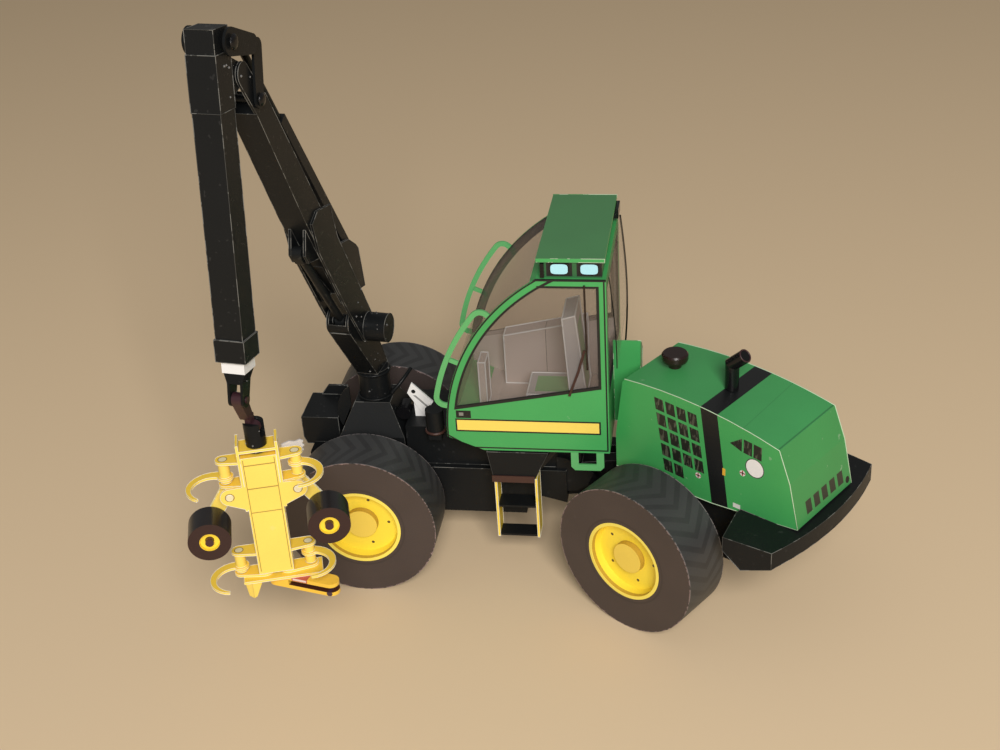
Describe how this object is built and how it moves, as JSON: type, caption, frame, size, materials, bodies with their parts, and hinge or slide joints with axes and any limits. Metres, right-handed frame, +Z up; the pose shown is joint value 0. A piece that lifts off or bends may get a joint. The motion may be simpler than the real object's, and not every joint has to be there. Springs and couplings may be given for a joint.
{
  "type": "forestry harvester model",
  "caption": "Card scale model of a wheeled forestry harvester with a centre-steered frame, glazed cab, folding crane and a hanging felling head.",
  "frame": {"origin": "middle of the outline as posed, on the floor", "axes": "+X forward along the front frame, +Y to the machine left, +Z up"},
  "size_m": [0.1632, 0.1198, 0.1686],
  "materials": {
    "green_card": "satin printed card",
    "light_green_card": "satin printed card",
    "black_card": "satin printed card with glue marks",
    "brown_card": "printed card",
    "yellow_card": "satin printed card",
    "white_card": "bare card",
    "grey_card": "printed card",
    "blue_card": "printed card",
    "tyre_card": "matt printed card",
    "clear_sheet": "clear brownish film"
  },
  "bodies": {
    "front_frame": {"front_frame": "black_card", "front_axle": "black_card", "front_box": "black_card", "crane_pedestal": "black_card", "valve_block": "white_card", "round_tank": "black_card", "step_box": "black_card", "step_sides": "yellow_card", "step_treads": "black_card", "cab_side_left": "green_card", "cab_side_right": "green_card", "cab_shell": "green_card", "cab_roof": "green_card", "roof_lamps": "blue_card", "side_window_left": "clear_sheet", "side_window_right": "clear_sheet", "windscreen": "clear_sheet", "rear_window": "clear_sheet", "handrail_left": "light_green_card", "handrail_right": "light_green_card", "step_loop": "light_green_card", "cab_seat": "grey_card", "cab_console": "grey_card", "rear_cab_box": "green_card"},
    "rear_frame": {"rear_frame": "black_card", "rear_axle": "black_card", "hood": "green_card", "pre_cleaner": "brown_card", "exhaust_pipe": "black_card", "rear_ballast": "black_card"},
    "front_left_wheel": {"front_left_tyre": "tyre_card", "front_left_rim": "yellow_card"},
    "front_right_wheel": {"front_right_tyre": "tyre_card", "front_right_rim": "yellow_card"},
    "rear_left_wheel": {"rear_left_tyre": "tyre_card", "rear_left_rim": "yellow_card"},
    "rear_right_wheel": {"rear_right_tyre": "tyre_card", "rear_right_rim": "yellow_card"},
    "crane_post": {"crane_post": "black_card"},
    "lift_strut": {"lift_strut": "black_card"},
    "main_boom": {"main_boom": "black_card"},
    "fold_cylinder": {"fold_cylinder": "black_card"},
    "fold_rod": {"fold_rod": "black_card"},
    "rocker_link": {"rocker_link": "black_card"},
    "outer_boom": {"outer_boom": "black_card"},
    "fold_link": {"fold_link": "black_card"},
    "boom_extension": {"boom_extension": "white_card", "extension_fork": "black_card"},
    "hanging_link": {"hanging_link": "brown_card"},
    "rotator": {"rotator": "black_card"},
    "head": {"head_frame": "yellow_card", "saw_box": "yellow_card"},
    "roller_arm_left": {"roller_arm_left": "yellow_card"},
    "roller_arm_right": {"roller_arm_right": "yellow_card"},
    "feed_roller_left": {"feed_roller_left": "brown_card"},
    "feed_roller_right": {"feed_roller_right": "brown_card"},
    "upper_knife_left": {"upper_knife_left": "yellow_card"},
    "upper_knife_right": {"upper_knife_right": "yellow_card"},
    "lower_knife_left": {"lower_knife_left": "yellow_card"},
    "lower_knife_right": {"lower_knife_right": "yellow_card"}
  },
  "joints": [
    {"name": "steering", "type": "hinge", "parent": "front_frame", "child": "rear_frame", "pos_m": [-0.01263, -0.02668, 0.025], "axis": [0, 0, 1], "range_deg": [0, 66]},
    {"name": "front_left_wheel_spin", "type": "hinge", "parent": "front_frame", "child": "front_left_wheel", "pos_m": [0.05337, -0.00083, 0.0208], "axis": [0, 1, 0], "continuous": true},
    {"name": "front_right_wheel_spin", "type": "hinge", "parent": "front_frame", "child": "front_right_wheel", "pos_m": [0.05337, -0.05253, 0.0208], "axis": [0, 1, 0], "continuous": true},
    {"name": "rear_left_wheel_spin", "type": "hinge", "parent": "rear_frame", "child": "rear_left_wheel", "pos_m": [-0.02245, 0.01052, 0.0208], "axis": [0.5446, 0.8387, 0], "continuous": true},
    {"name": "rear_right_wheel_spin", "type": "hinge", "parent": "rear_frame", "child": "rear_right_wheel", "pos_m": [-0.05061, -0.03284, 0.0208], "axis": [0.5446, 0.8387, 0], "continuous": true},
    {"name": "crane_slew", "type": "hinge", "parent": "front_frame", "child": "crane_post", "pos_m": [0.05387, -0.02668, 0.048], "axis": [0, 0, 1], "range_deg": [-182, 18]},
    {"name": "boom_lift", "type": "hinge", "parent": "crane_post", "child": "main_boom", "pos_m": [0.05512, -0.01777, 0.07], "axis": [0.9903, -0.1392, 0], "range_deg": [-20, 10]},
    {"name": "strut_swing", "type": "hinge", "parent": "crane_post", "child": "lift_strut", "pos_m": [0.05618, -0.01024, 0.0752], "axis": [0.9903, -0.1392, 0], "range_deg": [-26.29, 13.64]},
    {"name": "outer_boom_fold", "type": "hinge", "parent": "main_boom", "child": "outer_boom", "pos_m": [0.06187, 0.03021, 0.15599], "axis": [0.9903, -0.1392, 0], "range_deg": [-8, 45]},
    {"name": "rocker_swing", "type": "hinge", "parent": "main_boom", "child": "rocker_link", "pos_m": [0.06124, 0.02578, 0.14887], "axis": [0.9903, -0.1392, 0], "range_deg": [-6.15, 29.94]},
    {"name": "fold_link_swing", "type": "hinge", "parent": "outer_boom", "child": "fold_link", "pos_m": [0.06272, 0.03626, 0.16499], "axis": [0.9903, -0.1392, 0], "range_deg": [-25.49, 5.35]},
    {"name": "fold_cylinder_swing", "type": "hinge", "parent": "main_boom", "child": "fold_cylinder", "pos_m": [0.05516, -0.01754, 0.09282], "axis": [0.9903, -0.1392, 0], "range_deg": [-1.45, 3.52]},
    {"name": "fold_rod_slide", "type": "slide", "parent": "fold_cylinder", "child": "fold_rod", "axis": [0.0733, 0.5218, 0.8499], "range_m": [-0.00467, 0.00099]},
    {"name": "extension_slide", "type": "slide", "parent": "outer_boom", "child": "boom_extension", "axis": [0.0177, 0.1258, -0.9919], "range_m": [0, 0.015]},
    {"name": "link_swing", "type": "hinge", "parent": "boom_extension", "child": "hanging_link", "pos_m": [0.0645, 0.04898, 0.0866], "axis": [-0.9903, 0.1392, 0], "range_deg": [-30, 30]},
    {"name": "rotator_swing", "type": "hinge", "parent": "hanging_link", "child": "rotator", "pos_m": [0.06291, 0.04698, 0.078], "axis": [0.1392, 0.9903, 0], "range_deg": [-20, 20]},
    {"name": "head_turn", "type": "hinge", "parent": "rotator", "child": "head", "pos_m": [0.06291, 0.04698, 0.0728], "axis": [0, 0, 1], "continuous": true},
    {"name": "roller_arm_left_swing", "type": "hinge", "parent": "head", "child": "roller_arm_left", "pos_m": [0.07044, 0.04935, 0.0614], "axis": [-0.3007, 0.9537, 0], "range_deg": [-20, 20]},
    {"name": "roller_arm_right_swing", "type": "hinge", "parent": "head", "child": "roller_arm_right", "pos_m": [0.05537, 0.0446, 0.0614], "axis": [-0.3007, 0.9537, 0], "range_deg": [-20, 20]},
    {"name": "feed_roller_left_spin", "type": "hinge", "parent": "roller_arm_left", "child": "feed_roller_left", "pos_m": [0.07626, 0.05119, 0.0518], "axis": [-0.3007, 0.9537, 0], "continuous": true},
    {"name": "feed_roller_right_spin", "type": "hinge", "parent": "roller_arm_right", "child": "feed_roller_right", "pos_m": [0.04956, 0.04277, 0.0518], "axis": [-0.3007, 0.9537, 0], "continuous": true},
    {"name": "upper_knife_left_swing", "type": "hinge", "parent": "head", "child": "upper_knife_left", "pos_m": [0.07098, 0.049, 0.066], "axis": [0, 0, 1], "range_deg": [-8, 62]},
    {"name": "upper_knife_right_swing", "type": "hinge", "parent": "head", "child": "upper_knife_right", "pos_m": [0.05514, 0.04401, 0.066], "axis": [0, 0, 1], "range_deg": [-25, 45]},
    {"name": "lower_knife_left_swing", "type": "hinge", "parent": "head", "child": "lower_knife_left", "pos_m": [0.07098, 0.049, 0.04], "axis": [0, 0, 1], "range_deg": [-30, 40]},
    {"name": "lower_knife_right_swing", "type": "hinge", "parent": "head", "child": "lower_knife_right", "pos_m": [0.05514, 0.04401, 0.04], "axis": [0, 0, 1], "range_deg": [-25, 45]}
  ],
  "couplings": [
    {"joint": "strut_swing", "follows": "boom_lift", "ratio": 1.2643},
    {"joint": "rocker_swing", "follows": "outer_boom_fold", "ratio": 0.6432},
    {"joint": "fold_link_swing", "follows": "outer_boom_fold", "ratio": -0.5442},
    {"joint": "fold_cylinder_swing", "follows": "outer_boom_fold", "ratio": 0.0561},
    {"joint": "fold_rod_slide", "follows": "outer_boom_fold", "m_per_rad": -0.00569}
  ]
}
